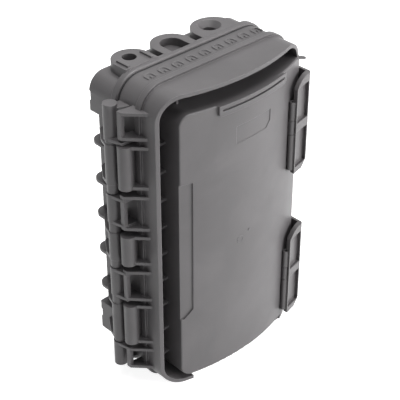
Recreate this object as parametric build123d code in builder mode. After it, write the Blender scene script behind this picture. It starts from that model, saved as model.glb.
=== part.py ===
from build123d import *
import os
from math import sqrt

# Outdoor fibre distribution box, moulded in two halves and closed by two latches.
# Millimetres. X runs to the latch side, Y into the wall or pole, Z up.
# The origin is the middle of the flat rear face. A depth is counted forward from that
# face, so a depth of d lies at y = -d.

# Band of the cover and the beads round it
band_width = 146.2
band_height = 260.6
band_radius = 19.5
shell_wall = 3.0
bead_proud = 2.0
bow_radius = 180.0

# Depths of the flange, the parting line and the cover
flange_back = 25.0
flange_thickness = 5.7
flange_round = 1.4
parting_gap = 0.8
moat_floor = 47.0
moat_floor_wall = 2.5
cover_bead_back = 50.5
cover_bead_width = 5.0
cover_groove_width = 1.2
cover_groove_depth = 1.0
rim_crest = 85.0
rim_low_crest = 74.0
rim_low_left = -46.0
rim_low_right = 58.0
rim_low_slope = 9.0

# Front panel, set in from the band by a moat
panel_proud = 1.2
panel_wall = 2.6
panel_left_moat = 16.1
panel_top_moat = 16.3
panel_bottom_moat = 6.3
panel_corner = 9.0
panel_edge_radius = 1.2

# Rear tub, set in from the band
tub_side_step = 5.7
tub_top_step = 5.3
tub_bottom_step = 24.3
upper_block_height = 29.0
lower_block_height = 26.5
block_radius = 14.0
tub_rear_radius = 1.5
cavity_radius = 10.0

# Half-moon ribs on the sides of the tub
rib_levels = (0.547, 0.293, 0.054, -0.2, -0.464)
rib_thickness = 2.6
rib_reach = 9.2
rib_round = 8.0
rib_front_right = 17.0

# Hanging lugs on the top
lug_rises = (8.0, 7.4, 7.4)
lug_root = 1.5
lug_centres = (-46.0, -8.0, 33.5)
lug_radii = (15.5, 16.0, 18.5)
lug_hole_radius = 5.5
lug_hole_depth = 12.4
lug_cone_radius = 9.5
lug_cone_depth = 13.0
lug_slot_radius = 9.0
lug_rib_width = 2.2
lug_rib_proud = 1.4

# Strap channels across the rear
strap_levels = (0.827, -0.704)
strap_width = 8.5
strap_depth = 2.2

# Hinge, with its knuckles given as shares of the half height
hinge_reach = 10.3
hinge_offset = 2.5
knuckle_radius = 5.3
pin_radius = 2.5
pin_press = 0.02
pin_running = 0.07
pin_end_gap = 2.0
knuckle_cap = 5.0
web_thickness = 2.4
end_web_inset = 3.0
end_web_reach = 9.0
collar_radius = 4.7
collar_gap = 0.5
cover_knuckles = ((0.69, 0.908), (0.147, 0.338), (-0.373, -0.173), (-0.906, -0.729))
base_knuckles = ((0.404, 0.665), (-0.115, 0.077), (-0.705, -0.434))

# Stiffening column beside the hinge, on the cover
column_reach = 12.7
column_bar = 3.4
column_back = 44.0
column_depth = 4.0
column_front = 63.2
column_root = 50.0
column_frames = ((0.723, 0.895), (0.134, 0.364), (-0.365, -0.153), (-0.883, -0.731))
column_rounds = ((0.41, 0.685), (-0.104, 0.093), (-0.685, -0.402))
column_round_radius = 5.9
column_round_inset = 3.6
column_round_depth = 47.4

# Gussets in the moat
gusset_pitch = 24.0
gusset_count = 9
gusset_first = 43.3
gusset_thickness = 1.8
gusset_front = 62.0
top_gussets = (-45.0, -22.0, 45.0)

# Relief on the panel
lip_left = -27.0
lip_right = 46.0
lip_height = 8.5
lip_proud = 2.2
lip_corner = 2.5
lip_groove_drop = 2.6
lip_groove_width = 2.0
lip_groove_depth = 1.8
lip_groove_inset = 3.0
label_left = -9.0
label_right = 28.0
label_drop = 23.0
label_height = 14.5
label_depth = 0.5
label_chamfer = 5.0
strip_width = 10.0
strip_high = 0.437
strip_low = -0.507
strip_depth = 1.3
strip_chamfer = 7.5

# Embossed arches on the band
mark_count = 9
mark_pitch = 13.4
mark_first = -52.0
mark_width = 8.4
mark_line = 1.4
mark_depth = 36.5
mark_length = 8.0
mark_tick = 2.6
mark_proud = 0.6

# Latches
latch_levels = (0.468, -0.6)
latch_length = 82.0
latch_pivot_inset = 14.6
latch_pivot_proud = 2.3
latch_barrel_radius = 2.6
latch_seat_gap = 1.0
latch_face_proud = 1.6
latch_face_start = 0.4
latch_plate = 3.8
latch_face_slope = 4.0
latch_side_gap = 0.6
latch_side_wall = 2.4
latch_side_back = 27.0
latch_pin_radius = 1.0
latch_pin_running = 0.06
latch_barrel_low = -38.0
latch_barrel_high = 22.0
latch_knuckle_half = 6.0
latch_knuckle_gap = 0.4
latch_corner = 18.0
latch_small_corner = 3.0
latch_chamfer = 8.0
latch_edge_radius = 3.2
window_left_border = 4.2
window_border = 3.0
window_depth = 2.0
window_low = -36.0
window_high = 34.0
window_bar_low = -4.0
window_bar_high = 3.5
hook_low = 0.0
hook_high = 30.0
hook_grip = 3.2
hook_gap = 0.8
hook_thickness = 4.0
grip_count = 10
grip_pitch = 6.5
grip_first = -32.0
grip_width = 2.4
grip_rise = 0.8

# Gasket
gasket_width = 3.0
gasket_depth = 2.5
gasket_groove = 2.0
gasket_play = 0.1

# Splice tray
tray_side_gap = 12.4
tray_height = 98.0
tray_level = 0.468
tray_radius = 14.0
tray_back = 8.0
tray_floor = 1.8
tray_rim = 11.0
tray_wall = 1.6
tray_screw_inset = 8.0
tray_port_width = 14.0
tray_port_x = 36.0
tray_port_sill = 2.0
tray_lid_thickness = 1.4
spool_radius = 15.0
spool_x = 25.0
spool_rise = 17.0
spool_gap = 1.0
spool_slit = 5.0
holder_slots = 10
holder_pitch = 5.2
holder_slot_width = 3.0
holder_slot_depth = 4.6
holder_height = 24.0
holder_drop = 25.0
holder_depth = 6.8

# Adapter row
adapter_pitch = 14.5
adapter_depth = 28.0
adapter_width = 12.7
adapter_thickness = 9.2
adapter_length = 27.0
adapter_shoulder = 0.6
adapter_shoulder_height = 2.0
adapter_port_side = 1.65
adapter_port_front = 0.9
adapter_port_depth = 10.5
adapter_key_width = 3.4
adapter_key_depth = 0.5
adapter_play = 0.12
sleeve_radius = 2.1
sleeve_bore = 1.25
sleeve_length = 3.5
cap_plug_play = 0.1
cap_plug_depth = 1.8
cap_inset = 0.6
cap_height = 8.0
cap_round = 1.2
shelf_level = -0.153
shelf_thickness = 1.6
shelf_margin = 1.5
shelf_front = 42.0
shelf_flange_height = 15.0
shelf_screw_inset = 6.0

# Cable glands in the floor of the tub
gland_inset = 20.4
entry_depth = 14.0
gland_thread_radius = 7.4
gland_hole_play = 0.2
gland_hex_flat = 8.5
gland_hex_height = 5.0
gland_thread_length = 12.0
locknut_flat = 9.0
locknut_height = 4.0
locknut_play = 0.05
gland_neck_radius = 6.9
gland_neck_length = 8.0
gland_bore_radius = 5.2
gland_cap_radius = 9.2
gland_cap_length = 13.0
gland_cap_wall = 2.5
gland_cap_play = 0.1
gland_cap_hole = 4.6
gland_cap_grooves = 12
gland_cap_groove_radius = 0.8
seal_play = 0.1
seal_length = 8.0
seal_bore = 4.0

# Grommets for the drop cables
drop_count = 6
drop_pitch = 9.0
drop_radius = 3.6
drop_flange_radius = 4.3
drop_flange = 1.2
drop_play = 0.1
drop_dimple_radius = 2.2
drop_dimple_depth = 3.0

# Cable clamps over their cradles, and fibre guides
saddle_level = -0.614
saddle_half_span = 11.0
saddle_post_top = 15.0
saddle_end = 4.0
saddle_height = 9.0
saddle_thickness = 3.0
saddle_arch_radius = 5.0
saddle_arch_wall = 2.0
cradle_front = 11.0
cradle_width = 16.0
cradle_thickness = 4.0
guide_inset = 14.4
guide_level = -0.384
guide_radius = 7.0
guide_wall = 1.8
guide_width = 6.0
guide_slit = 2.5
guide_foot = 1.6

# Screws and their bosses
screw_radius = 1.45
screw_head_radius = 2.8
screw_head_height = 1.9
screw_length = 6.5
clamp_screw_length = 8.5
screw_play = 0.02
screw_clearance = 0.25
screw_slot_width = 0.8
boss_radius = 4.0

# Worked out from the sizes above
half_width = band_width / 2
half_height = band_height / 2
reach = 2 * band_height
flange_front = flange_back + flange_thickness
cover_back = flange_front + parting_gap
panel_crest = rim_crest + panel_proud
panel_left = panel_left_moat - half_width
panel_top = half_height - panel_top_moat
panel_bottom = panel_bottom_moat - half_height
tub_half_width = half_width - tub_side_step
block_half_width = half_width + bead_proud
tub_top = half_height - tub_top_step
tub_bottom = tub_bottom_step - half_height
cavity_half_width = tub_half_width - shell_wall
rib_outer = tub_half_width + rib_reach
lug_tops = [tub_top + rise for rise in lug_rises]
hinge_x = -half_width - hinge_reach
hinge_depth = cover_back + hinge_offset
column_left = -half_width - column_reach
tray_width = 2 * (cavity_half_width - tray_side_gap)
tray_middle = tray_level * half_height
tray_seat = tray_back + tray_floor
adapter_count = int(2 * (cavity_half_width - shelf_margin) / adapter_pitch)
shelf_half_width = adapter_count * adapter_pitch / 2 + shelf_margin
shelf_z = shelf_level * half_height
gland_x = cavity_half_width - gland_inset
guide_x = cavity_half_width - guide_inset
saddle_z = saddle_level * half_height
inner_floor = tub_bottom + shell_wall


def bow_depth(x, crest):
    """Depth of the bowed front at a distance from the middle."""
    return crest - bow_radius + sqrt(bow_radius**2 - x**2)


latch_x = half_width - latch_pivot_inset
latch_depth = bow_depth(latch_x, panel_crest) + latch_pivot_proud
latch_side = block_half_width + latch_side_gap
latch_outer = latch_side + latch_side_wall
latch_face = latch_depth + latch_barrel_radius + latch_face_proud


def depth_plane(depth):
    """Front-view plane at a depth: local x is X and local y is Z."""
    return Plane.XZ.offset(depth)


def span(shares):
    """Heights for a pair of shares of the half height."""
    return shares[0] * half_height, shares[1] * half_height


def rounded(width, height, radius):
    """Front-view outline: a rectangle with round corners about the origin."""
    with BuildSketch() as outline:
        RectangleRounded(width, height, radius)
    return outline.sketch


def limits(left, right, low, high):
    """Front-view outline: a plain rectangle between four limits."""
    with BuildSketch() as outline:
        with Locations(((left + right) / 2, (low + high) / 2)):
            Rectangle(right - left, high - low)
    return outline.sketch


def slab(outline, back, front):
    """Straight solid over a front-view outline between two depths."""
    with BuildPart() as form:
        with BuildSketch(depth_plane(back)):
            add(outline)
        extrude(amount=front - back)
    return form.part


def bow(crest):
    """Long upright cylinder that touches the crest depth with its front line."""
    with BuildPart() as form:
        with BuildSketch(Plane.XY.offset(-reach / 2)):
            with Locations((0, bow_radius - crest)):
                Circle(bow_radius)
        extrude(amount=reach)
    return form.part


def bowed(outline, back, crest):
    """Solid over an outline from a flat back to the bowed front."""
    with BuildPart() as form:
        add(slab(outline, back, crest + shell_wall))
        add(bow(crest), mode=Mode.INTERSECT)
    return form.part


def ahead_of(outline, crest):
    """Everything over an outline that stands in front of the bowed surface."""
    with BuildPart() as form:
        add(slab(outline, moat_floor, reach))
        add(bow(crest), mode=Mode.SUBTRACT)
    return form.part


def prism(points, low, high):
    """Upright solid over a plan outline given as (x, depth) points."""
    with BuildPart() as form:
        with BuildSketch(Plane.XY.offset(low)):
            Polygon(*[(x, -depth) for x, depth in points], align=None)
        extrude(amount=high - low)
    return form.part


def rod(x, depth, radius, low, high):
    """Upright round bar."""
    with BuildPart() as form:
        with BuildSketch(Plane.XY.offset(low)):
            with Locations((x, -depth)):
                Circle(radius)
        extrude(amount=high - low)
    return form.part


def block(x, depth, width, thickness, low, high):
    """Upright rectangular bar about a centre line."""
    with BuildPart() as form:
        with BuildSketch(Plane.XY.offset(low)):
            with Locations((x, -depth)):
                Rectangle(width, thickness)
        extrude(amount=high - low)
    return form.part


def post(x, z, radius, back, front):
    """Round bar that stands forward from one depth to another."""
    with BuildPart() as form:
        with BuildSketch(depth_plane(back)):
            with Locations((x, z)):
                Circle(radius)
        extrude(amount=front - back)
    return form.part


def save(part, label):
    """Name one finished piece and write it to its own file."""
    part.label = label
    export_step(part, f"parts/{label}.step")


os.makedirs("parts", exist_ok=True)


# Base housing: the tub on the wall, with its flange, lugs, ribs and hinge knuckles
def tub_outline():
    """Tub seen from the front, with the wider blocks at its top and bottom."""
    block_low = tub_top - upper_block_height
    block_high = tub_bottom + lower_block_height
    with BuildSketch() as outline:
        add(limits(-tub_half_width, tub_half_width, tub_bottom, tub_top))
        add(limits(-block_half_width, block_half_width, block_low, tub_top))
        add(limits(-block_half_width, block_half_width, tub_bottom, block_high))
        fillet(outline.vertices().group_by(Axis.Y)[-1], block_radius)
    return outline.sketch


def cavity_outline():
    """Inside of the tub, one wall in."""
    with BuildSketch() as outline:
        add(limits(-cavity_half_width, cavity_half_width, inner_floor, tub_top - shell_wall))
        fillet(outline.vertices(), cavity_radius)
    return outline.sketch


def side_rib(height, side, front):
    """Half-moon rib on the side of the tub, round at its rear end."""
    inner = tub_half_width - shell_wall / 2
    with BuildPart() as form:
        with BuildSketch(Plane.XY.offset(height - rib_thickness / 2)) as plan:
            with Locations((side * (inner + rib_outer) / 2, -front / 2)):
                Rectangle(rib_outer - inner, front)
            outer = plan.vertices().group_by(Axis.X)[-1 if side > 0 else 0]
            fillet(outer.sort_by(Axis.Y)[-1], rib_round)
        extrude(amount=rib_thickness)
    return form.part


def lug(centre, radius, rear, low, high):
    """Hanging lug: round at the rear, with straight sides that run into the flange."""
    front = flange_back + flange_round
    with BuildPart() as form:
        with BuildSketch(Plane.XY.offset(low)):
            with Locations((centre, -rear - radius - front)):
                SlotOverall(2 * radius + 2 * front, 2 * radius, rotation=90)
            with Locations((centre, -(rear + front) / 2)):
                Rectangle(2 * radius, front - rear, mode=Mode.INTERSECT)
        extrude(amount=high - low)
    return form.part


def base_web(height):
    """Thin plate from a base knuckle to the flange and the side of the tub."""
    left = hinge_x - knuckle_radius
    return prism(
        (
            (hinge_x, flange_front),
            (left + 0.5, hinge_depth - 1.5),
            (left + 3.0, flange_back),
            (-rib_outer, flange_back / 2),
            (-tub_half_width + 1.0, flange_back / 2),
            (-tub_half_width + 1.0, flange_back + 1.0),
            (-block_half_width + 1.0, flange_back + 1.0),
            (-block_half_width + 1.0, flange_front),
        ),
        height,
        height + web_thickness,
    )


def boss_places():
    """Screw bosses in the tub as (x, z, top): tray, adapter shelf and cable clamps."""
    tray_x = tray_width / 2 - tray_screw_inset
    tray_z = tray_height / 2 - tray_screw_inset
    shelf_x = shelf_half_width - shelf_screw_inset
    places = []
    for side in (-1, 1):
        places.append((side * tray_x, tray_middle - tray_z, tray_back))
        places.append((side * tray_x, tray_middle + tray_z, tray_back))
        places.append((side * shelf_x, shelf_z + shelf_flange_height / 2, tray_back))
        places.append((side * gland_x - saddle_half_span, saddle_z, saddle_post_top))
        places.append((side * gland_x + saddle_half_span, saddle_z, saddle_post_top))
    return places


with BuildPart() as base_housing:
    add(slab(tub_outline(), 0, flange_back))
    fillet(base_housing.faces().sort_by(Axis.Y)[-1].edges(), tub_rear_radius)
    flange_outline = rounded(
        band_width + 2 * bead_proud,
        band_height + 2 * bead_proud,
        band_radius + bead_proud,
    )
    add(slab(flange_outline, flange_back, flange_front))
    fillet(base_housing.faces().sort_by(Axis.Y)[0].outer_wire().edges(), flange_round)
    add(slab(cavity_outline(), shell_wall, reach), mode=Mode.SUBTRACT)

    # Gasket groove in the face of the flange
    with BuildSketch(depth_plane(flange_front - gasket_groove)):
        RectangleRounded(band_width + 2 * gasket_play, band_height + 2 * gasket_play, band_radius)
        RectangleRounded(
            band_width - 2 * gasket_width - 2 * gasket_play,
            band_height - 2 * gasket_width - 2 * gasket_play,
            band_radius - gasket_width,
            mode=Mode.SUBTRACT,
        )
    extrude(amount=reach, mode=Mode.SUBTRACT)

    # Hanging lugs: drilled at the left, slotted in the middle, coned at the right
    for centre, radius, top in zip(lug_centres, lug_radii, lug_tops):
        add(lug(centre, radius, 0, tub_top - lug_root, top))
    with Locations((lug_centres[0], -lug_hole_depth, lug_tops[0])):
        Hole(lug_hole_radius, depth=lug_rises[0])
    slot_rear = lug_radii[1] - lug_slot_radius
    add(
        lug(lug_centres[1], lug_slot_radius, slot_rear, tub_top + lug_root / 2, lug_tops[1] + 1.0),
        mode=Mode.SUBTRACT,
    )
    with Locations((lug_centres[2], -lug_cone_depth, lug_tops[2])):
        CounterSinkHole(
            radius=lug_hole_radius,
            counter_sink_radius=lug_cone_radius,
            depth=lug_rises[2],
        )
    for side in (-1, 1):
        add(
            block(
                lug_centres[0] + side * (lug_radii[0] - 2 * lug_rib_width),
                (lug_hole_depth + flange_back) / 2,
                lug_rib_width,
                flange_back - lug_hole_depth,
                lug_tops[0],
                lug_tops[0] + lug_rib_proud,
            )
        )

    # Half-moon ribs, short on the latch side so that the hooks pass
    for share in rib_levels:
        add(side_rib(share * half_height, -1, flange_back))
        add(side_rib(share * half_height, 1, rib_front_right))

    # Strap channels for a band, backed by a thicker wall inside
    for share in strap_levels:
        height = share * half_height
        pad = strap_width / 2 + strap_depth
        pad_outline = limits(-cavity_half_width, cavity_half_width, height - pad, height + pad)
        add(slab(pad_outline, strap_depth, shell_wall + strap_depth))
        channel = limits(-reach, reach, height - strap_width / 2, height + strap_width / 2)
        add(slab(channel, -shell_wall, strap_depth), mode=Mode.SUBTRACT)

    # Hinge knuckles with their plates, and collars that fill the gaps between knuckles
    for index, shares in enumerate(base_knuckles):
        low, high = span(shares)
        collar_low = cover_knuckles[index + 1][1] * half_height + collar_gap
        collar_high = cover_knuckles[index][0] * half_height - collar_gap
        add(rod(hinge_x, hinge_depth, knuckle_radius, low, high))
        add(rod(hinge_x, hinge_depth, collar_radius, collar_low, collar_high))
        add(base_web(low))
        add(base_web(high - web_thickness))
        add(
            rod(hinge_x, hinge_depth, pin_radius + pin_press, collar_low - 1.0, collar_high + 1.0),
            mode=Mode.SUBTRACT,
        )

    # Cable entry holes in the floor of the tub
    hole_low = tub_bottom - shell_wall
    hole_high = inner_floor + shell_wall
    for side in (-1, 1):
        add(
            rod(side * gland_x, entry_depth, gland_thread_radius + gland_hole_play, hole_low, hole_high),
            mode=Mode.SUBTRACT,
        )
    for index in range(drop_count):
        x = (index - (drop_count - 1) / 2) * drop_pitch
        add(rod(x, entry_depth, drop_radius + drop_play, hole_low, hole_high), mode=Mode.SUBTRACT)

    # Screw bosses, and the cradles under the feeder cables
    for x, z, top in boss_places():
        add(post(x, z, boss_radius, shell_wall / 2, top))
        add(post(x, z, screw_radius + screw_play, top - screw_length, top + 1.0), mode=Mode.SUBTRACT)
    for side in (-1, 1):
        x = side * gland_x
        low = saddle_z - cradle_thickness / 2
        high = saddle_z + cradle_thickness / 2
        cradle = limits(x - cradle_width / 2, x + cradle_width / 2, low, high)
        add(slab(cradle, shell_wall / 2, cradle_front))
        add(rod(x, entry_depth, saddle_arch_radius, low - 1.0, high + 1.0), mode=Mode.SUBTRACT)

save(base_housing.part, "base_housing")


# Cover: band, rim, moat and bowed panel in one moulding
def panel_outline(inset):
    """Panel seen from the front: round at the left, cut by the band at the right."""
    left = panel_left + inset
    high = panel_top - inset
    low = panel_bottom + inset
    with BuildSketch() as outline:
        add(limits(left, half_width, low, high))
        fillet(outline.vertices().group_by(Axis.X)[0], panel_corner - inset)
        add(rounded(band_width, band_height, band_radius), mode=Mode.INTERSECT)
    return outline.sketch


def inner_band(inset):
    """Inside of the band seen from the front."""
    return rounded(band_width - 2 * inset, band_height - 2 * inset, band_radius - inset)


def inner_panel():
    """Inside of the panel, one wall in from the panel and from the band."""
    with BuildSketch() as outline:
        add(panel_outline(panel_wall))
        add(inner_band(shell_wall), mode=Mode.INTERSECT)
    return outline.sketch


def lip_form():
    """Finger lip along the top of the panel, round at its lower corners."""
    with BuildSketch() as outline:
        add(limits(lip_left, lip_right, panel_top - lip_height, panel_top))
        fillet(outline.vertices().group_by(Axis.Y)[0], lip_corner)
    return bowed(outline.sketch, rim_crest - panel_wall, panel_crest + lip_proud)


def label_recess():
    """Shallow field for a label, with its lower right corner cut."""
    with BuildSketch() as outline:
        high = panel_top - label_drop
        add(limits(label_left, label_right, high - label_height, high))
        chamfer(outline.vertices().group_by(Axis.X)[-1].sort_by(Axis.Y)[0], label_chamfer)
    return ahead_of(outline.sketch, panel_crest - label_depth)


def strip_recess():
    """Long recess in the hinge-side edge of the panel."""
    low, high = span((strip_low, strip_high))
    with BuildSketch() as outline:
        add(limits(panel_left - 1.0, panel_left + strip_width, low, high))
        chamfer(outline.vertices().group_by(Axis.X)[-1].sort_by(Axis.Y)[0], strip_chamfer)
    return ahead_of(outline.sketch, panel_crest - strip_depth)


def cover_web(height):
    """Thin plate from a cover knuckle to the band and the stiffening column."""
    return prism(
        (
            (hinge_x, cover_back + 0.1),
            (hinge_x - knuckle_radius + 0.4, hinge_depth + 1.5),
            (column_left, column_back + column_depth),
            (shell_wall / 2 - half_width, column_root),
            (shell_wall / 2 - half_width, cover_back + 0.1),
        ),
        height,
        height + web_thickness,
    )


def end_web(height):
    """Small plate from the first or last knuckle straight to the band."""
    root = shell_wall / 2 - half_width
    return prism(
        (
            (hinge_x, cover_back + 0.1),
            (hinge_x - knuckle_radius / 2, hinge_depth + knuckle_radius / 2),
            (root, hinge_depth + end_web_reach),
            (root, cover_back + 0.1),
        ),
        height,
        height + web_thickness,
    )


def column_plate(height):
    """Thin plate of the stiffening column, sloping back to the band."""
    root = shell_wall / 2 - half_width
    return prism(
        (
            (column_left, column_back),
            (column_left, column_back + column_depth),
            (root, column_front),
            (root, column_back + column_depth / 2),
        ),
        height,
        height + web_thickness,
    )


def band_marks():
    """Row of small arches with ticks, raised on the top face of the band."""
    radius = mark_width / 2
    with BuildPart() as form:
        with BuildSketch(Plane.XY.offset(half_height - mark_proud)):
            for index in range(mark_count):
                x = mark_first + index * mark_pitch
                front = -mark_depth - mark_length
                with Locations((x, -mark_depth - radius)):
                    Circle(radius)
                with Locations((x, (front - mark_depth - radius) / 2)):
                    Rectangle(mark_width, mark_length - radius)
                with Locations((x, -mark_depth - radius)):
                    Circle(radius - mark_line, mode=Mode.SUBTRACT)
                with Locations((x, (front - mark_depth - radius) / 2)):
                    Rectangle(mark_width - 2 * mark_line, mark_length - radius, mode=Mode.SUBTRACT)
                with Locations((x, front + mark_tick / 2)):
                    Rectangle(mark_line, mark_tick)
        extrude(amount=2 * mark_proud)
    return form.part


with BuildPart() as panel_form:
    add(bowed(panel_outline(0), moat_floor - moat_floor_wall, panel_crest))
    fillet(panel_form.faces().sort_by(Axis.Y)[0].edges(), panel_edge_radius)

with BuildPart() as cover:
    add(bowed(rounded(band_width, band_height, band_radius), cover_back, rim_crest))

    # Bead round the skirt, with a groove behind it
    bead_outline = rounded(
        band_width + 2 * bead_proud,
        band_height + 2 * bead_proud,
        band_radius + bead_proud,
    )
    add(slab(bead_outline, cover_bead_back, cover_bead_back + cover_bead_width))
    with BuildSketch(depth_plane(cover_bead_back - cover_groove_width)):
        add(bead_outline)
        add(inner_band(cover_groove_depth), mode=Mode.SUBTRACT)
    extrude(amount=cover_groove_width, mode=Mode.SUBTRACT)

    # Moat round the panel, then the panel, then the open inside
    with BuildSketch(depth_plane(moat_floor)):
        add(inner_band(shell_wall))
        add(panel_outline(0), mode=Mode.SUBTRACT)
    extrude(amount=reach, mode=Mode.SUBTRACT)
    add(slab(panel_outline(0), moat_floor, reach), mode=Mode.SUBTRACT)
    add(panel_form.part)
    add(slab(inner_band(shell_wall), 0, moat_floor - moat_floor_wall), mode=Mode.SUBTRACT)
    add(bowed(inner_panel(), cover_back, panel_crest - panel_wall), mode=Mode.SUBTRACT)

    # Lower rim, cut back so that the moat drains
    crest_gap = (
        (rim_low_left, rim_low_crest),
        (rim_low_right, rim_low_crest),
        (rim_low_right + rim_low_slope, reach),
        (rim_low_left - rim_low_slope, reach),
    )
    add(prism(crest_gap, -half_height - 1.0, panel_bottom - 1.0), mode=Mode.SUBTRACT)

    # Gussets between the rim and the panel
    for index in range(gusset_count):
        height = half_height - gusset_first - index * gusset_pitch
        left = shell_wall / 2 - half_width
        right = panel_left + panel_wall / 2
        gusset = limits(left, right, height - gusset_thickness / 2, height + gusset_thickness / 2)
        add(slab(gusset, moat_floor - moat_floor_wall / 2, gusset_front))
    for x in top_gussets:
        low = panel_top - panel_wall / 2
        high = half_height - shell_wall / 2
        gusset = limits(x - gusset_thickness / 2, x + gusset_thickness / 2, low, high)
        add(slab(gusset, moat_floor - moat_floor_wall / 2, gusset_front))

    # Finger lip with its rain groove, label field and edge strip
    add(lip_form())
    groove_high = panel_top - lip_groove_drop
    lip_groove = limits(
        lip_left + lip_groove_inset,
        lip_right - lip_groove_inset,
        groove_high - lip_groove_width,
        groove_high,
    )
    add(ahead_of(lip_groove, panel_crest + lip_proud - lip_groove_depth), mode=Mode.SUBTRACT)
    add(label_recess(), mode=Mode.SUBTRACT)
    add(strip_recess(), mode=Mode.SUBTRACT)

    # Hinge knuckles with their plates
    for shares in cover_knuckles:
        low, high = span(shares)
        add(rod(hinge_x, hinge_depth, knuckle_radius, low, high))
        if shares == cover_knuckles[-1]:
            add(end_web(low + end_web_inset))
        else:
            add(cover_web(low))
        if shares == cover_knuckles[0]:
            add(end_web(high - web_thickness - end_web_inset))
        else:
            add(cover_web(high - web_thickness))
    pin_hole_high = cover_knuckles[0][1] * half_height - knuckle_cap
    add(
        rod(hinge_x, hinge_depth, pin_radius + pin_running, -half_height, pin_hole_high),
        mode=Mode.SUBTRACT,
    )

    # Stiffening column: open frames and half-round elements in turn
    for shares in column_frames:
        low, high = span(shares)
        add(column_plate(low))
        add(column_plate(high - web_thickness))
        bar_x = column_left + column_bar / 2
        add(block(bar_x, column_back + column_depth / 2, column_bar, column_depth, low, high))
    for shares in column_rounds:
        low, high = span(shares)
        add(column_plate(low))
        add(column_plate(high - web_thickness))
        round_x = column_left + column_round_inset
        add(rod(round_x, column_round_depth, column_round_radius, low, high))
        root = shell_wall / 2 - half_width
        middle = (round_x + root) / 2
        add(block(middle, column_round_depth, root - round_x, column_depth, low, high))

    # Knuckles that carry the latch pins, and grooves beside them for the latch barrels
    for share in latch_levels:
        centre = share * half_height
        low = centre + latch_barrel_low - latch_knuckle_gap
        high = centre + latch_barrel_high + latch_knuckle_gap
        groove_radius = latch_barrel_radius + latch_seat_gap
        add(rod(latch_x, latch_depth, groove_radius, low, high), mode=Mode.SUBTRACT)
        knuckle_low = centre - latch_knuckle_half
        knuckle_high = centre + latch_knuckle_half
        foot_height = latch_pivot_proud + panel_wall / 2
        foot_depth = latch_depth - foot_height / 2
        foot_width = 2 * latch_barrel_radius
        add(rod(latch_x, latch_depth, latch_barrel_radius, knuckle_low, knuckle_high))
        add(block(latch_x, foot_depth, foot_width, foot_height, knuckle_low, knuckle_high))
        bore = latch_pin_radius + pin_press
        add(
            rod(latch_x, latch_depth, bore, knuckle_low - 1.0, knuckle_high + 1.0),
            mode=Mode.SUBTRACT,
        )

    # Raised arches along the top of the band
    add(band_marks())

save(cover.part, "cover")

# Gasket that lies in the flange groove
with BuildPart() as sealing_gasket:
    with BuildSketch(depth_plane(flange_front - gasket_groove)):
        RectangleRounded(band_width, band_height, band_radius - gasket_play)
        add(inner_band(gasket_width), mode=Mode.SUBTRACT)
    extrude(amount=gasket_depth)

save(sealing_gasket.part, "sealing_gasket")

# Hinge pin, driven in from below
with BuildPart() as hinge_pin:
    pin_low = cover_knuckles[-1][0] * half_height + pin_end_gap
    pin_high = cover_knuckles[0][1] * half_height - knuckle_cap - pin_end_gap
    add(rod(hinge_x, hinge_depth, pin_radius, pin_low, pin_high))
    chamfer(hinge_pin.edges().filter_by(GeomType.CIRCLE), pin_radius / 5)

save(hinge_pin.part, "hinge_pin")


# Latches: a windowed front plate on a barrel, a side plate and a hook behind the flange
def latch_outline(centre):
    """Latch seen from the front, with one large and one small round corner."""
    left = latch_x - latch_barrel_radius
    low = centre - latch_length / 2
    high = centre + latch_length / 2
    with BuildSketch() as outline:
        add(limits(left, latch_outer, low, high))
        fillet(outline.vertices().group_by(Axis.X)[0].sort_by(Axis.Y)[-1], latch_corner)
        fillet(outline.vertices().group_by(Axis.Y)[0].sort_by(Axis.X)[0], latch_small_corner)
        chamfer(outline.vertices().group_by(Axis.Y)[0].sort_by(Axis.X)[-1], latch_chamfer)
    return outline.sketch


def latch_section(centre):
    """Front plate and side plate in one bent section, drawn in plan."""
    low = centre - latch_length / 2
    high = centre + latch_length / 2
    edge_depth = latch_face - latch_face_slope
    with BuildPart() as form:
        with BuildSketch(Plane.XY.offset(low)) as plan:
            Polygon(
                (latch_x + latch_face_start, -latch_face),
                (latch_outer, -edge_depth),
                (latch_outer, -latch_side_back),
                (latch_side, -latch_side_back),
                (latch_side, -(edge_depth - latch_plate)),
                (latch_x + latch_face_start, -(latch_face - latch_plate)),
                align=None,
            )
            corner = plan.vertices().group_by(Axis.X)[-1].sort_by(Axis.Y)[0]
            fillet(corner, latch_edge_radius)
        extrude(amount=high - low)
    return form.part


def latch_window(low, high):
    """Recess in the face of the latch, deeper towards its outer edge."""
    left = latch_x - latch_barrel_radius + window_left_border
    right = latch_outer - window_border
    slope = latch_face_slope / (latch_outer - latch_x)
    left_floor = latch_face - slope * (left - latch_x) - window_depth
    right_floor = latch_face - slope * (right - latch_x) - 1.4 * window_depth
    top = latch_face + window_depth
    return prism(((left, left_floor), (right, right_floor), (right, top), (left, top)), low, high)


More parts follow.
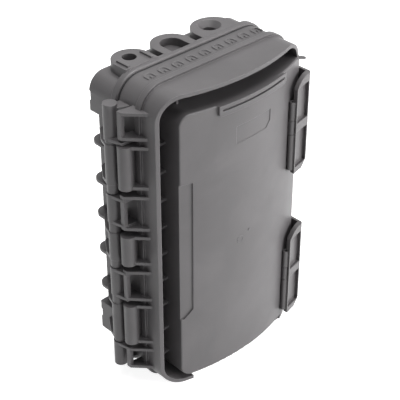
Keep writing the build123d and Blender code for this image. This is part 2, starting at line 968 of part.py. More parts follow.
def latch(centre):
    """One latch about its middle height."""
    barrel_low = centre + latch_barrel_low
    barrel_high = centre + latch_barrel_high
    hook_face = flange_back - hook_gap
    hook_back = hook_face - hook_thickness
    low = centre + hook_low
    high = centre + hook_high
    with BuildPart() as form:
        add(latch_section(centre))
        add(rod(latch_x, latch_depth, latch_barrel_radius, barrel_low, barrel_high))
        add(slab(latch_outline(centre), 0, reach), mode=Mode.INTERSECT)

        # Hook tongue, with the hook turned in behind the flange
        tongue_x = (latch_side + latch_outer) / 2
        tongue_middle = (hook_back + latch_side_back) / 2
        add(block(tongue_x, tongue_middle, latch_side_wall, latch_side_back - hook_back, low, high))
        tip = block_half_width - hook_grip
        hook = ((tip, hook_face), (latch_outer, hook_face), (latch_outer, hook_back), (latch_side, hook_back))
        add(prism(hook, low, high))

        # Windows above and below the bar, room for the cover knuckle, and the pin bore
        add(latch_window(centre + window_low, centre + window_bar_low), mode=Mode.SUBTRACT)
        add(latch_window(centre + window_bar_high, centre + window_high), mode=Mode.SUBTRACT)
        room = latch_knuckle_half + latch_knuckle_gap
        room_radius = latch_barrel_radius + latch_knuckle_gap
        add(rod(latch_x, latch_depth, room_radius, centre - room, centre + room), mode=Mode.SUBTRACT)
        bore = latch_pin_radius + latch_pin_running
        add(rod(latch_x, latch_depth, bore, barrel_low - 1.0, barrel_high + 1.0), mode=Mode.SUBTRACT)

        # Grip ribs in pairs on the side plate
        for index in range(grip_count):
            height = centre + grip_first + index * grip_pitch
            for plates in (3, 6):
                grip_depth = latch_face - plates * latch_plate
                grip_low = height - grip_width / 2
                add(block(latch_outer, grip_depth, 2 * grip_rise, 2 * latch_plate, grip_low, grip_low + grip_width))
    return form.part


def latch_pin(centre):
    """Pin that carries one latch in the cover knuckle."""
    low = centre + latch_barrel_low + pin_end_gap
    high = centre + latch_barrel_high - pin_end_gap
    return rod(latch_x, latch_depth, latch_pin_radius, low, high)


for share, place in zip(latch_levels, ("upper", "lower")):
    save(latch(share * half_height), f"latch_{place}")
    save(latch_pin(share * half_height), f"latch_pin_{place}")


# Splice tray, with its rim, fibre spools and ports, and what lies in and on it
def tray_outline(inset):
    """Tray seen from the front."""
    with BuildSketch() as outline:
        with Locations((0, tray_middle)):
            RectangleRounded(tray_width - 2 * inset, tray_height - 2 * inset, tray_radius - inset)
    return outline.sketch


def tray_screw_places():
    """Centres of the four tray screws."""
    across = tray_width - 2 * tray_screw_inset
    along = tray_height - 2 * tray_screw_inset
    return [(x, tray_middle + z) for x in (-across / 2, across / 2) for z in (-along / 2, along / 2)]


with BuildPart() as splice_tray:
    rim_front = tray_back + tray_rim
    spool_z = tray_middle + spool_rise
    tray_low = tray_middle - tray_height / 2
    add(slab(tray_outline(0), tray_back, rim_front))
    add(slab(tray_outline(tray_wall), tray_seat, reach), mode=Mode.SUBTRACT)
    for side in (-1, 1):
        x = side * spool_x
        add(post(x, spool_z, spool_radius, tray_back + tray_floor / 2, rim_front - spool_gap))
        add(post(x, spool_z, spool_radius - tray_wall, tray_seat, reach), mode=Mode.SUBTRACT)
        slit = limits(x - spool_slit / 2, x + spool_slit / 2, spool_z, spool_z + spool_radius + tray_wall)
        add(slab(slit, tray_seat, reach), mode=Mode.SUBTRACT)
        port_left = side * tray_port_x - tray_port_width / 2
        port = limits(port_left, port_left + tray_port_width, tray_low - tray_wall, tray_low + 2 * tray_wall)
        add(slab(port, tray_seat, rim_front - tray_port_sill), mode=Mode.SUBTRACT)
    for x, z in tray_screw_places():
        add(post(x, z, screw_radius + screw_clearance, 0, reach), mode=Mode.SUBTRACT)

save(splice_tray.part, "splice_tray")

with BuildPart() as splice_holder:
    holder_width = holder_slots * holder_pitch + holder_slot_width
    holder_z = tray_middle - holder_drop
    low = holder_z - holder_height / 2
    high = holder_z + holder_height / 2
    front = tray_seat + holder_depth
    add(slab(limits(-holder_width / 2, holder_width / 2, low, high), tray_seat, front))
    for index in range(holder_slots):
        x = (index - (holder_slots - 1) / 2) * holder_pitch
        slot = limits(x - holder_slot_width / 2, x + holder_slot_width / 2, low - 1.0, high + 1.0)
        add(slab(slot, front - holder_slot_depth, reach), mode=Mode.SUBTRACT)

save(splice_holder.part, "splice_holder")

with BuildPart() as tray_cover:
    lid_back = tray_back + tray_rim
    add(slab(tray_outline(0), lid_back, lid_back + tray_lid_thickness))
    fillet(tray_cover.faces().sort_by(Axis.Y)[0].edges(), tray_lid_thickness / 3)

save(tray_cover.part, "tray_cover")


def screw(x, z, seat, length):
    """Pan-head screw driven towards the rear, its head on the seat depth."""
    head_front = seat + screw_head_height
    slot_half = screw_head_radius + 1.0
    with BuildPart() as form:
        add(post(x, z, screw_head_radius, seat, head_front))
        fillet(form.faces().sort_by(Axis.Y)[0].edges(), screw_head_height * 0.45)
        add(post(x, z, screw_radius, seat - length, seat))
        slot = limits(x - slot_half, x + slot_half, z - screw_slot_width / 2, z + screw_slot_width / 2)
        add(slab(slot, head_front - screw_slot_width, head_front + 1.0), mode=Mode.SUBTRACT)
    return form.part


with BuildPart() as tray_screws:
    for x, z in tray_screw_places():
        add(screw(x, z, tray_seat, screw_length))

save(tray_screws.part, "tray_screws")


# Adapter row: a folded shelf, its adapters and their dust caps
def adapter_xs():
    """Centres of the adapters along the shelf."""
    return [(index - (adapter_count - 1) / 2) * adapter_pitch for index in range(adapter_count)]


def shelf_screw_places():
    """Centres of the two shelf screws."""
    x = shelf_half_width - shelf_screw_inset
    z = shelf_z + shelf_flange_height / 2
    return [(-x, z), (x, z)]


with BuildPart() as adapter_panel:
    left = -shelf_half_width
    right = shelf_half_width
    flange_top = shelf_z + shelf_flange_height
    shelf_top = shelf_z + shelf_thickness
    add(slab(limits(left, right, shelf_z, flange_top), tray_back, tray_back + shelf_thickness))
    add(slab(limits(left, right, shelf_z, shelf_top), tray_back, shelf_front))
    bend = adapter_panel.edges().filter_by(Axis.X).group_by(Axis.Z)[0].sort_by(Axis.Y)[-1]
    fillet(bend, shelf_thickness * 0.8)
    opening_width = adapter_width + 2 * adapter_play
    opening_depth = adapter_thickness + 2 * adapter_play
    for x in adapter_xs():
        add(
            block(x, adapter_depth, opening_width, opening_depth, shelf_z - 1.0, shelf_top + 1.0),
            mode=Mode.SUBTRACT,
        )
    for x, z in shelf_screw_places():
        add(post(x, z, screw_radius + screw_clearance, 0, shelf_front / 2), mode=Mode.SUBTRACT)

save(adapter_panel.part, "adapter_panel")

with BuildPart() as panel_screws:
    for x, z in shelf_screw_places():
        add(screw(x, z, tray_back + shelf_thickness, screw_length))

save(panel_screws.part, "panel_screws")

shoulder_low = shelf_z + shelf_thickness
shoulder_high = shoulder_low + adapter_shoulder_height
adapter_low = (shoulder_low + shoulder_high - adapter_length) / 2
adapter_high = adapter_low + adapter_length
port_width = adapter_width - 2 * adapter_port_side
port_thickness = adapter_thickness - 2 * adapter_port_front


def adapter(x):
    """Square adapter with a keyed port and a ferrule sleeve at each end."""
    shoulder_width = adapter_width + 2 * adapter_shoulder
    shoulder_depth = adapter_thickness + 2 * adapter_shoulder
    key_depth = adapter_depth + port_thickness / 2
    with BuildPart() as form:
        add(block(x, adapter_depth, adapter_width, adapter_thickness, adapter_low, adapter_high))
        add(block(x, adapter_depth, shoulder_width, shoulder_depth, shoulder_low, shoulder_high))
        for low, high, root in (
            (adapter_low - 1.0, adapter_low + adapter_port_depth, adapter_low + adapter_port_depth),
            (adapter_high - adapter_port_depth, adapter_high + 1.0, adapter_high - adapter_port_depth),
        ):
            add(block(x, adapter_depth, port_width, port_thickness, low, high), mode=Mode.SUBTRACT)
            add(
                block(x, key_depth, adapter_key_width, 2 * adapter_key_depth, low, high),
                mode=Mode.SUBTRACT,
            )
            sleeve_far = root - sleeve_length if low < adapter_low else root + sleeve_length
            add(rod(x, adapter_depth, sleeve_radius, min(root, sleeve_far), max(root, sleeve_far)))
        add(rod(x, adapter_depth, sleeve_bore, adapter_low, adapter_high), mode=Mode.SUBTRACT)
    return form.part


def dust_cap(x):
    """Cap with a short plug that closes the lower port of one adapter."""
    width = adapter_width - 2 * cap_inset
    thickness = adapter_thickness - 2 * cap_inset
    plug_width = port_width - 2 * cap_plug_play
    plug_thickness = port_thickness - 2 * cap_plug_play
    with BuildPart() as form:
        add(block(x, adapter_depth, width, thickness, adapter_low - cap_height, adapter_low))
        fillet(form.faces().sort_by(Axis.Z)[0].edges(), cap_round)
        plug_high = adapter_low + cap_plug_depth
        add(block(x, adapter_depth, plug_width, plug_thickness, adapter_low, plug_high))
    return form.part


for index, x in enumerate(adapter_xs(), start=1):
    save(adapter(x), f"adapter_{index}")
    save(dust_cap(x), f"dust_cap_{index}")


# Cable glands: body, locknut inside the tub, clamping cap and seal
def hexagon(x, flat, low, high):
    """Upright hexagonal bar with one flat towards the rear."""
    with BuildPart() as form:
        with BuildSketch(Plane.XY.offset(low)):
            with Locations((x, -entry_depth)):
                RegularPolygon(flat, 6, major_radius=False, rotation=30)
        extrude(amount=high - low)
    return form.part


hex_low = tub_bottom - gland_hex_height
neck_low = hex_low - gland_neck_length
thread_high = tub_bottom + gland_thread_length
cap_low = hex_low - gland_cap_length
cap_floor = cap_low + gland_cap_wall


def gland_body(x):
    """Threaded tube with a hexagon against the floor of the tub."""
    with BuildPart() as form:
        add(hexagon(x, gland_hex_flat, hex_low, tub_bottom))
        add(rod(x, entry_depth, gland_thread_radius, tub_bottom, thread_high))
        add(rod(x, entry_depth, gland_neck_radius, neck_low, hex_low))
        add(
            rod(x, entry_depth, gland_bore_radius, neck_low - 1.0, thread_high + 1.0),
            mode=Mode.SUBTRACT,
        )
    return form.part


def gland_locknut(x):
    """Hexagonal nut on the thread, against the inside of the floor."""
    with BuildPart() as form:
        add(hexagon(x, locknut_flat, inner_floor, inner_floor + locknut_height))
        bore = gland_thread_radius + locknut_play
        add(
            rod(x, entry_depth, bore, inner_floor - 1.0, inner_floor + locknut_height + 1.0),
            mode=Mode.SUBTRACT,
        )
    return form.part


def gland_cap(x):
    """Clamping cap over the neck, grooved for the fingers."""
    bore = gland_neck_radius + gland_cap_play
    with BuildPart() as form:
        add(rod(x, entry_depth, gland_cap_radius, cap_low, hex_low))
        fillet(form.faces().sort_by(Axis.Z)[0].edges(), gland_cap_wall / 2)
        add(rod(x, entry_depth, bore, cap_floor, hex_low + 1.0), mode=Mode.SUBTRACT)
        add(rod(x, entry_depth, gland_cap_hole, cap_low - 1.0, cap_floor + 1.0), mode=Mode.SUBTRACT)
        with BuildSketch(Plane.XY.offset(cap_low)):
            with Locations((x, -entry_depth)):
                with PolarLocations(gland_cap_radius, gland_cap_grooves):
                    Circle(gland_cap_groove_radius)
        extrude(amount=gland_cap_length, mode=Mode.SUBTRACT)
    return form.part


def gland_seal(x):
    """Rubber sleeve in the neck, resting on the floor of the cap."""
    high = cap_floor + seal_length
    with BuildPart() as form:
        add(rod(x, entry_depth, gland_bore_radius - seal_play, cap_floor, high))
        add(rod(x, entry_depth, seal_bore, cap_floor - 1.0, high + 1.0), mode=Mode.SUBTRACT)
    return form.part


for side, place in ((-1, "left"), (1, "right")):
    x = side * gland_x
    save(gland_body(x), f"gland_body_{place}")
    save(gland_locknut(x), f"gland_locknut_{place}")
    save(gland_cap(x), f"gland_cap_{place}")
    save(gland_seal(x), f"gland_seal_{place}")


# Closed grommets for the drop cables
def drop_grommet(x):
    """Rubber grommet with a lip on each side of the floor and a dimple to cut open."""
    lip_low = tub_bottom - drop_flange
    with BuildPart() as form:
        add(rod(x, entry_depth, drop_flange_radius, lip_low, tub_bottom))
        add(rod(x, entry_depth, drop_radius, tub_bottom, inner_floor))
        add(rod(x, entry_depth, drop_flange_radius, inner_floor, inner_floor + drop_flange))
        add(
            rod(x, entry_depth, drop_dimple_radius, lip_low - 1.0, lip_low + drop_dimple_depth),
            mode=Mode.SUBTRACT,
        )
    return form.part


for index in range(drop_count):
    x = (index - (drop_count - 1) / 2) * drop_pitch
    save(drop_grommet(x), f"drop_grommet_{index + 1}")


# Cable clamps across the cradles, with their screws
def cable_clamp(x):
    """Bridge bar on two posts, hollowed over the cable."""
    half = saddle_half_span + saddle_end
    low = saddle_z - saddle_height / 2
    high = saddle_z + saddle_height / 2
    bar_front = saddle_post_top + saddle_thickness
    with BuildPart() as form:
        add(slab(limits(x - half, x + half, low, high), saddle_post_top, bar_front))
        fillet(form.edges().filter_by(Axis.Y), saddle_end * 0.75)
        add(rod(x, entry_depth, saddle_arch_radius + saddle_arch_wall, low, high))
        add(rod(x, entry_depth, saddle_arch_radius, low - 1.0, high + 1.0), mode=Mode.SUBTRACT)
        add(slab(limits(x - half, x + half, low - 1.0, high + 1.0), 0, saddle_post_top), mode=Mode.SUBTRACT)
        for side in (-1, 1):
            hole_x = x + side * saddle_half_span
            add(post(hole_x, saddle_z, screw_radius + screw_clearance, 0, reach), mode=Mode.SUBTRACT)
    return form.part


for side, place in ((-1, "left"), (1, "right")):
    save(cable_clamp(side * gland_x), f"cable_clamp_{place}")

with BuildPart() as clamp_screws:
    seat = saddle_post_top + saddle_thickness
    for x in (-gland_x, gland_x):
        for side in (-1, 1):
            add(screw(x + side * saddle_half_span, saddle_z, seat, clamp_screw_length))

save(clamp_screws.part, "clamp_screws")


# Fibre guides: open rings on a foot that sticks to the rear wall
def fibre_guide(x):
    """Split ring about an upright axis, on a flat foot."""
    middle = shell_wall + guide_foot + guide_radius
    low = guide_level * half_height - guide_width / 2
    high = low + guide_width
    with BuildPart() as form:
        add(rod(x, middle, guide_radius, low, high))
        add(block(x, shell_wall + guide_foot / 2, 2 * guide_radius, guide_foot, low, high))
        add(block(x, shell_wall + guide_foot, guide_radius, 2 * guide_foot, low, high))
        add(rod(x, middle, guide_radius - guide_wall, low - 1.0, high + 1.0), mode=Mode.SUBTRACT)
        slit_depth = middle + guide_radius
        add(
            block(x, slit_depth, guide_slit, 2 * guide_radius, low - 1.0, high + 1.0),
            mode=Mode.SUBTRACT,
        )
    return form.part


for side, place in ((-1, "left"), (1, "right")):
    save(fibre_guide(side * guide_x), f"fibre_guide_{place}")
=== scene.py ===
import math
import bmesh
import bpy
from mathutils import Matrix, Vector


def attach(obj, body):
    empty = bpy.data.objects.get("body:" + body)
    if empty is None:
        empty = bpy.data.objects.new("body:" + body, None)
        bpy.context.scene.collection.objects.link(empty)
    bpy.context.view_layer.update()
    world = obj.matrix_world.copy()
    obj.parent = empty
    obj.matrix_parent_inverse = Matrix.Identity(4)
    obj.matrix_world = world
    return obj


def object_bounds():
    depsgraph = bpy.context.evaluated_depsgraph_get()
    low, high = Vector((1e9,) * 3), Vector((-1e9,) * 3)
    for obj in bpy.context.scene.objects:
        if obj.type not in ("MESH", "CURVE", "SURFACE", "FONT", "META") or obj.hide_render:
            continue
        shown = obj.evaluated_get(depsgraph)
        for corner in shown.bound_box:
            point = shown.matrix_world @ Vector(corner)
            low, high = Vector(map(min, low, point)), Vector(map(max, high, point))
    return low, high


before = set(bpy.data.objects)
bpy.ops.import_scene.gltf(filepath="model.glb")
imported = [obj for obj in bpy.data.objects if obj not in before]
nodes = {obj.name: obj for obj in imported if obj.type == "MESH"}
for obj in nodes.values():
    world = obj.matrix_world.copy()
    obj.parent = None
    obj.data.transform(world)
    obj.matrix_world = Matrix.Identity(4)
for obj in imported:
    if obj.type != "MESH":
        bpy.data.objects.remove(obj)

cad_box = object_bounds()

# Camera: left of the box and above it, with a long lens, as in the photograph.
# The place and the direction were solved from the straight edges of the box.
camera_place = Vector((-0.5511, -0.6152, 0.5292))
camera_direction = Vector((0.5758, 0.6030, -0.5521))
camera_data = bpy.data.cameras.new("photo_camera")
camera_data.lens = 109.3
camera_data.sensor_width = 36.0
camera_data.clip_start = 0.05
camera_data.clip_end = 20.0
camera = bpy.data.objects.new("photo_camera", camera_data)
camera.location = camera_place
camera.rotation_euler = camera_direction.to_track_quat("-Z", "Y").to_euler()
bpy.context.scene.collection.objects.link(camera)
bpy.context.scene.camera = camera
bpy.context.scene.view_settings.view_transform = "Standard"


# Studio lamps: two soft sheets right of the camera for the front, one overhead for
# the lugs and the band, and a small one by the camera for the recesses. The stronger
# front sheet is kept out of reflections, so that no flat top glares from behind.
def soft_light(name, place, size, power, mirrored=True):
    """Square area light that faces the middle of the box."""
    data = bpy.data.lights.new(name, "AREA")
    data.shape = "SQUARE"
    data.size = size
    data.energy = power
    light = bpy.data.objects.new(name, data)
    light.location = place
    light.rotation_euler = (-Vector(place)).to_track_quat("-Z", "Y").to_euler()
    light.visible_glossy = mirrored
    bpy.context.scene.collection.objects.link(light)


soft_light("key_light", (1.3, -1.9, 0.35), 2.4, 32.0)
soft_light("key_fill", (1.2, -1.85, 0.15), 1.6, 110.0, mirrored=False)
soft_light("front_light", (-0.8, -1.1, 0.6), 0.8, 2.4)
soft_light("top_light", (0.15, -0.1, 1.5), 1.2, 38.0)


# Room: a white room that the camera sees, also in mirrors and through glass. It
# lights the box only weakly and a little bluish, so that shaded sides stay dark.
def seen_rays(tree):
    """1 for rays from the lens, off a mirror or through glass, and 0 for lighting."""
    ray = tree.nodes.new("ShaderNodeLightPath")
    seen = ray.outputs["Is Camera Ray"]
    for kind in ("Is Glossy Ray", "Is Transmission Ray"):
        either = tree.nodes.new("ShaderNodeMath")
        either.operation = "MAXIMUM"
        tree.links.new(seen, either.inputs[0])
        tree.links.new(ray.outputs[kind], either.inputs[1])
        seen = either.outputs[0]
    return seen


world = bpy.data.worlds.new("studio")
world.use_nodes = True
bpy.context.scene.world = world
room = world.node_tree
room.nodes.clear()
seen_white = room.nodes.new("ShaderNodeBackground")
seen_white.inputs["Color"].default_value = (1.0, 1.0, 1.0, 1.0)
seen_white.inputs["Strength"].default_value = 1.0
room_light = room.nodes.new("ShaderNodeBackground")
room_light.inputs["Color"].default_value = (0.93, 0.96, 1.0, 1.0)
room_light.inputs["Strength"].default_value = 0.13
room_mix = room.nodes.new("ShaderNodeMixShader")
room_out = room.nodes.new("ShaderNodeOutputWorld")
room.links.new(seen_rays(room), room_mix.inputs[0])
room.links.new(room_light.outputs[0], room_mix.inputs[1])
room.links.new(seen_white.outputs[0], room_mix.inputs[2])
room.links.new(room_mix.outputs[0], room_out.inputs[0])

# Floor: a white sheet under the box. It keeps the shadow of the box, and a glow that
# only the camera, mirrors and glass see brings the rest of it up to white.
floor_half = 4.0
floor_gap = 0.0002
floor_z = cad_box[0][2] - floor_gap
floor_corners = [
    (side_x * floor_half, side_y * floor_half, floor_z)
    for side_x, side_y in ((-1, -1), (1, -1), (1, 1), (-1, 1))
]
floor_mesh = bpy.data.meshes.new("studio_floor")
floor_mesh.from_pydata(floor_corners, [], [(0, 1, 2, 3)])
floor = bpy.data.objects.new("studio_floor", floor_mesh)
bpy.context.scene.collection.objects.link(floor)
white_sheet = bpy.data.materials.new("white_sheet")
white_sheet.use_nodes = True
paper = white_sheet.node_tree
paper.nodes.clear()
paper_matt = paper.nodes.new("ShaderNodeBsdfDiffuse")
paper_matt.inputs["Color"].default_value = (0.6, 0.6, 0.6, 1.0)
paper_glow = paper.nodes.new("ShaderNodeEmission")
glow_level = paper.nodes.new("ShaderNodeMath")
glow_level.operation = "MULTIPLY"
glow_level.inputs[1].default_value = 0.85
paper_sum = paper.nodes.new("ShaderNodeAddShader")
paper_out = paper.nodes.new("ShaderNodeOutputMaterial")
paper.links.new(seen_rays(paper), glow_level.inputs[0])
paper.links.new(glow_level.outputs[0], paper_glow.inputs["Strength"])
paper.links.new(paper_matt.outputs[0], paper_sum.inputs[0])
paper.links.new(paper_glow.outputs[0], paper_sum.inputs[1])
paper.links.new(paper_sum.outputs[0], paper_out.inputs[0])
floor_mesh.materials.append(white_sheet)


# Cover and base housing: two big mouldings of glass-filled plastic, dark grey all
# through. They have the fine eroded grain of the mould, faint cloudy flow marks and
# shallow sinks over the ribs, and a painted highlight makes their edges paler.
def new_finish(name):
    """Empty material with its nodes, its shader and the place on the object."""
    material = bpy.data.materials.new(name)
    material.use_nodes = True
    tree = material.node_tree
    place = tree.nodes.new("ShaderNodeTexCoord").outputs["Object"]
    return material, tree, tree.nodes["Principled BSDF"], place


def patches(tree, place, scale, detail=2.0):
    """Soft random patches, about this many to a metre."""
    noise = tree.nodes.new("ShaderNodeTexNoise")
    noise.inputs["Scale"].default_value = scale
    noise.inputs["Detail"].default_value = detail
    tree.links.new(place, noise.inputs["Vector"])
    return noise


def two_tone(tree, factor, dark, light, start=0.0, end=1.0):
    """Colour that goes from dark to light between two levels of the factor."""
    ramp = tree.nodes.new("ShaderNodeValToRGB")
    for stop, level, colour in zip(ramp.color_ramp.elements, (start, end), (dark, light)):
        stop.position = level
        stop.color = (*colour, 1.0)
    tree.links.new(factor, ramp.inputs["Fac"])
    return ramp.outputs["Color"]


def vary_roughness(tree, shader, factor, low, high):
    """Roughness that wanders between two values."""
    dull = tree.nodes.new("ShaderNodeMapRange")
    dull.inputs["To Min"].default_value = low
    dull.inputs["To Max"].default_value = high
    tree.links.new(factor, dull.inputs["Value"])
    tree.links.new(dull.outputs["Result"], shader.inputs["Roughness"])


def relief(tree, height, strength, depth, under=None):
    """Normal of a surface with this relief, on top of another one if given."""
    bump = tree.nodes.new("ShaderNodeBump")
    bump.inputs["Strength"].default_value = strength
    bump.inputs["Distance"].default_value = depth
    tree.links.new(height, bump.inputs["Height"])
    if under is not None:
        tree.links.new(under, bump.inputs["Normal"])
    return bump.outputs["Normal"]


def moulded_plastic(name, colour, roughness, cloud=0.09, grain=0.12, edge=0.6):
    """Moulded plastic with clouds, grain, sinks and painted highlights on its edges."""
    material, tree, shader, place = new_finish(name)
    shader.inputs["IOR"].default_value = 1.47
    link = tree.links.new

    clouds = patches(tree, place, 22.0, 4.0)
    clouds.inputs["Distortion"].default_value = 0.6
    darker = [c * (1.0 - cloud) for c in colour]
    lighter = [c * (1.0 + cloud) for c in colour]
    clouded = two_tone(tree, clouds.outputs["Fac"], darker, lighter, 0.35, 0.65)

    # Painted highlight: near an edge, where the bevel's rounded normal turns from the face's own,
    # the colour is mixed towards a copy up to 2.1 times paler, as if the edge caught light.
    edge_width = 0.0008
    round_edge = tree.nodes.new("ShaderNodeBevel")
    round_edge.samples = 6
    round_edge.inputs["Radius"].default_value = edge_width
    flat_face = tree.nodes.new("ShaderNodeNewGeometry")
    facing = tree.nodes.new("ShaderNodeVectorMath")
    facing.operation = "DOT_PRODUCT"
    link(round_edge.outputs["Normal"], facing.inputs[0])
    link(flat_face.outputs["Normal"], facing.inputs[1])
    painted_edge_highlight = tree.nodes.new("ShaderNodeMapRange")
    painted_edge_highlight.inputs["From Min"].default_value = 0.99
    painted_edge_highlight.inputs["From Max"].default_value = 0.75
    painted_edge_highlight.inputs["To Min"].default_value = 0.0
    painted_edge_highlight.inputs["To Max"].default_value = edge
    link(facing.outputs["Value"], painted_edge_highlight.inputs["Value"])
    edge_highlight_gain = 2.1
    pale = tree.nodes.new("ShaderNodeMix")
    pale.data_type = "RGBA"
    pale.inputs["B"].default_value = (*[min(1.0, c * edge_highlight_gain) for c in colour], 1.0)
    link(painted_edge_highlight.outputs["Result"], pale.inputs["Factor"])
    link(clouded, pale.inputs["A"])
    link(pale.outputs["Result"], shader.inputs["Base Color"])

    sink_marks = patches(tree, place, 34.0, 1.0).outputs["Fac"]
    sunk = relief(tree, sink_marks, 0.35, 0.0012, under=round_edge.outputs["Normal"])
    fine_grain = patches(tree, place, 1900.0).outputs["Fac"]
    link(relief(tree, fine_grain, grain, 0.0002, under=sunk), shader.inputs["Normal"])
    handled = patches(tree, place, 60.0, 3.0).outputs["Fac"]
    vary_roughness(tree, shader, handled, roughness - 0.06, roughness + 0.06)
    return material


def finish(material, *names):
    """Give one material to some CAD nodes."""
    for name in names:
        nodes[name].data.materials.clear()
        nodes[name].data.materials.append(material)


shell_grey = (0.0645, 0.0608, 0.0628)
shell_plastic = moulded_plastic("shell_plastic", shell_grey, 0.42)
finish(shell_plastic, "cover", "base_housing")

# Seal lug: a thin pointed plate above the upper latch, moulded in one with the corner
# of the cover's rim, in the cover's own plastic. A wire seal is hooked over it.
lug_plan = (
    (0.0625, -0.0602),
    (0.0738, -0.0672),
    (0.0768, -0.0712),
    (0.0772, -0.0735),
    (0.0758, -0.0745),
    (0.0722, -0.0712),
    (0.0612, -0.0642),
)
lug_low, lug_high = 0.1112, 0.1126
lug_edge = 0.0003
lug_work = bmesh.new()
lower_ring = [lug_work.verts.new((x, y, lug_low)) for x, y in lug_plan]
upper_ring = [lug_work.verts.new((x, y, lug_high)) for x, y in lug_plan]
lug_work.faces.new(lower_ring[::-1])
lug_work.faces.new(upper_ring)
for here in range(len(lug_plan)):
    after = (here + 1) % len(lug_plan)
    lug_work.faces.new((lower_ring[here], lower_ring[after], upper_ring[after], upper_ring[here]))
bmesh.ops.recalc_face_normals(lug_work, faces=lug_work.faces)
bmesh.ops.bevel(lug_work, geom=lug_work.edges[:], offset=lug_edge, segments=2, affect="EDGES")
lug_mesh = bpy.data.meshes.new("seal_lug")
lug_work.to_mesh(lug_mesh)
lug_work.free()
seal_lug = bpy.data.objects.new("seal_lug", lug_mesh)
bpy.context.scene.collection.objects.link(seal_lug)
lug_mesh.materials.append(shell_plastic)
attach(seal_lug, "cover")

# Mould marks on the panel: the round scar where the plastic came in and the ring of
# an ejector pin beside it. Both are part of the cover, tenths of a millimetre high.
panel_crest, bow_radius = 0.0862, 0.180


def mark_ring(name, middle_x, middle_z, profile, steps=32):
    """Turned low relief on the bowed panel from (radius, height) pairs."""
    work = bmesh.new()
    rings = []
    for radius, height in profile:
        ring = []
        for step in range(steps):
            turn = 2 * math.pi * step / steps
            x = middle_x + radius * math.cos(turn)
            depth = panel_crest - bow_radius + math.sqrt(bow_radius**2 - x**2)
            ring.append(work.verts.new((x, -depth - height, middle_z + radius * math.sin(turn))))
        rings.append(ring)
    for inner, outer in zip(rings, rings[1:]):
        for step in range(steps):
            after = (step + 1) % steps
            work.faces.new((inner[step], inner[after], outer[after], outer[step]))
    work.faces.new(rings[0])
    work.faces.new(rings[-1])
    bmesh.ops.recalc_face_normals(work, faces=work.faces)
    mesh = bpy.data.meshes.new(name)
    work.to_mesh(mesh)
    work.free()
    mark = bpy.data.objects.new(name, mesh)
    bpy.context.scene.collection.objects.link(mark)
    mesh.materials.append(shell_plastic)
    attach(mark, "cover")


scar_profile = ((0.0004, 0.00035), (0.0011, 0.0003), (0.0014, -0.0003))
mark_ring("sprue_scar", 0.0063, -0.006, scar_profile)
ring_profile = ((0.0026, -0.0003), (0.0027, 0.00012), (0.0031, 0.00012), (0.0032, -0.0003))
mark_ring("ejector_ring", -0.0034, -0.0107, ring_profile)

# Latches: two windowed hooks of the same plastic that turn on pins in the cover. They
# are moulded in a smoother mould, so their faces catch a little more light.
latch_plastic = moulded_plastic("latch_plastic", (0.064, 0.060, 0.0615), 0.36, cloud=0.04)
finish(latch_plastic, "latch_upper", "latch_lower")


# Pins and screws: the hinge pin, the latch pins and the screws of the tray, shelf and
# clamps, all turned from stainless steel bar. Fine turning lines run round them.
def turned_steel(name, tint, roughness):
    """Bright metal with faint turning lines and small stains."""
    material, tree, shader, place = new_finish(name)
    shader.inputs["Metallic"].default_value = 1.0
    lines = tree.nodes.new("ShaderNodeTexWave")
    lines.bands_direction = "Z"
    lines.inputs["Scale"].default_value = 900.0
    lines.inputs["Distortion"].default_value = 1.5
    tree.links.new(place, lines.inputs["Vector"])
    tree.links.new(relief(tree, lines.outputs["Fac"], 0.1, 0.0001), shader.inputs["Normal"])
    stains = patches(tree, place, 160.0).outputs["Fac"]
    stain_share = 0.82
    tarnished = [c * stain_share for c in tint]
    tree.links.new(two_tone(tree, stains, tarnished, tint), shader.inputs["Base Color"])
    vary_roughness(tree, shader, stains, roughness, roughness + 0.12)
    return material


pin_steel = turned_steel("pin_steel", (0.62, 0.61, 0.60), 0.3)
finish(pin_steel, "hinge_pin", "latch_pin_upper", "latch_pin_lower")
finish(pin_steel, "tray_screws", "panel_screws", "clamp_screws")


# Seals: the gasket in the flange groove, the rings in the glands and the drop
# grommets pushed into the floor. All are black rubber, matt and a little dusty from
# the release powder.
def soft_rubber(name, colour):
    """Matt rubber with pores and a pale bloom in patches."""
    material, tree, shader, place = new_finish(name)
    shader.inputs["Roughness"].default_value = 0.78
    bloom = patches(tree, place, 120.0, 5.0).outputs["Fac"]
    bloom_gain = 1.9
    powdered = [c * bloom_gain for c in colour]
    surface = two_tone(tree, bloom, colour, powdered, 0.4, 0.8)
    tree.links.new(surface, shader.inputs["Base Color"])
    pores = patches(tree, place, 2400.0).outputs["Fac"]
    tree.links.new(relief(tree, pores, 0.2, 0.0002), shader.inputs["Normal"])
    return material


seal_rubber = soft_rubber("seal_rubber", (0.018, 0.018, 0.019))
finish(seal_rubber, "sealing_gasket", "gland_seal_left", "gland_seal_right")
finish(seal_rubber, *[name for name in nodes if name.startswith("drop_grommet")])

# Splice holder: a comb of softer grey rubber that sits in the splice tray. The splice
# sleeves are pressed into its slots.
holder_rubber = soft_rubber("holder_rubber", (0.09, 0.09, 0.1))
finish(holder_rubber, "splice_holder")

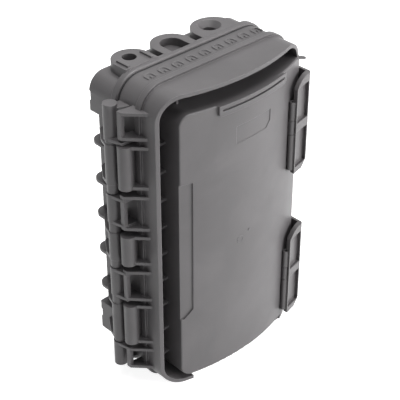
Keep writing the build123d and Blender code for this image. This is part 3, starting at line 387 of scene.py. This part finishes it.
# Cable glands: body, locknut and cap, moulded in black polyamide and screwed together
# through the floor of the housing. They are smoother than the housing is.
gland_plastic = moulded_plastic("gland_plastic", (0.028, 0.028, 0.03), 0.38, grain=0.05)
for side in ("left", "right"):
    finish(gland_plastic, f"gland_body_{side}", f"gland_locknut_{side}", f"gland_cap_{side}")

# Splice tray, fibre guides and cable clamps: light grey moulded plastic with a soft
# sheen, as the inner parts of such boxes are. Tray and clamps are screwed to bosses.
tray_grey = (0.47, 0.48, 0.49)
tray_plastic = moulded_plastic("tray_plastic", tray_grey, 0.4, cloud=0.02, grain=0.06, edge=0.15)
finish(tray_plastic, "splice_tray")
for side in ("left", "right"):
    finish(tray_plastic, f"cable_clamp_{side}", f"fibre_guide_{side}")

# Tray cover: a thin clear sheet of polycarbonate that lies over the splice tray and
# keeps the fibres in. Its gloss is slightly uneven from handling.
clear_sheet, clear_tree, clear_shader, clear_place = new_finish("clear_sheet")
clear_shader.inputs["Base Color"].default_value = (0.93, 0.96, 0.97, 1.0)
clear_shader.inputs["Transmission Weight"].default_value = 1.0
clear_shader.inputs["IOR"].default_value = 1.58
haze = patches(clear_tree, clear_place, 300.0).outputs["Fac"]
vary_roughness(clear_tree, clear_shader, haze, 0.03, 0.12)
finish(clear_sheet, "tray_cover")

# Adapter shelf: folded sheet steel, screwed to bosses on the rear wall. It has a
# light grey powder coat, with the orange peel that such a coat has.
shelf_coat = moulded_plastic("shelf_coat", (0.48, 0.49, 0.5), 0.5, cloud=0.02, grain=0.3, edge=0.1)
finish(shelf_coat, "adapter_panel")

# Adapters: eight square couplers of green moulded plastic in a row, each set into a
# hole of the shelf down to its shoulder.
coupler_green = (0.02, 0.22, 0.08)
adapter_plastic = moulded_plastic(
    "adapter_plastic", coupler_green, 0.35, cloud=0.03, grain=0.04, edge=0.2
)
for number in range(1, 9):
    finish(adapter_plastic, f"adapter_{number}")

# Dust caps: small white plastic plugs, one pushed into the lower port of each adapter
# until a connector takes its place.
cap_white = (0.6, 0.61, 0.6)
cap_plastic = moulded_plastic("cap_plastic", cap_white, 0.4, cloud=0.02, grain=0.04, edge=0.1)
for number in range(1, 9):
    finish(cap_plastic, f"dust_cap_{number}")
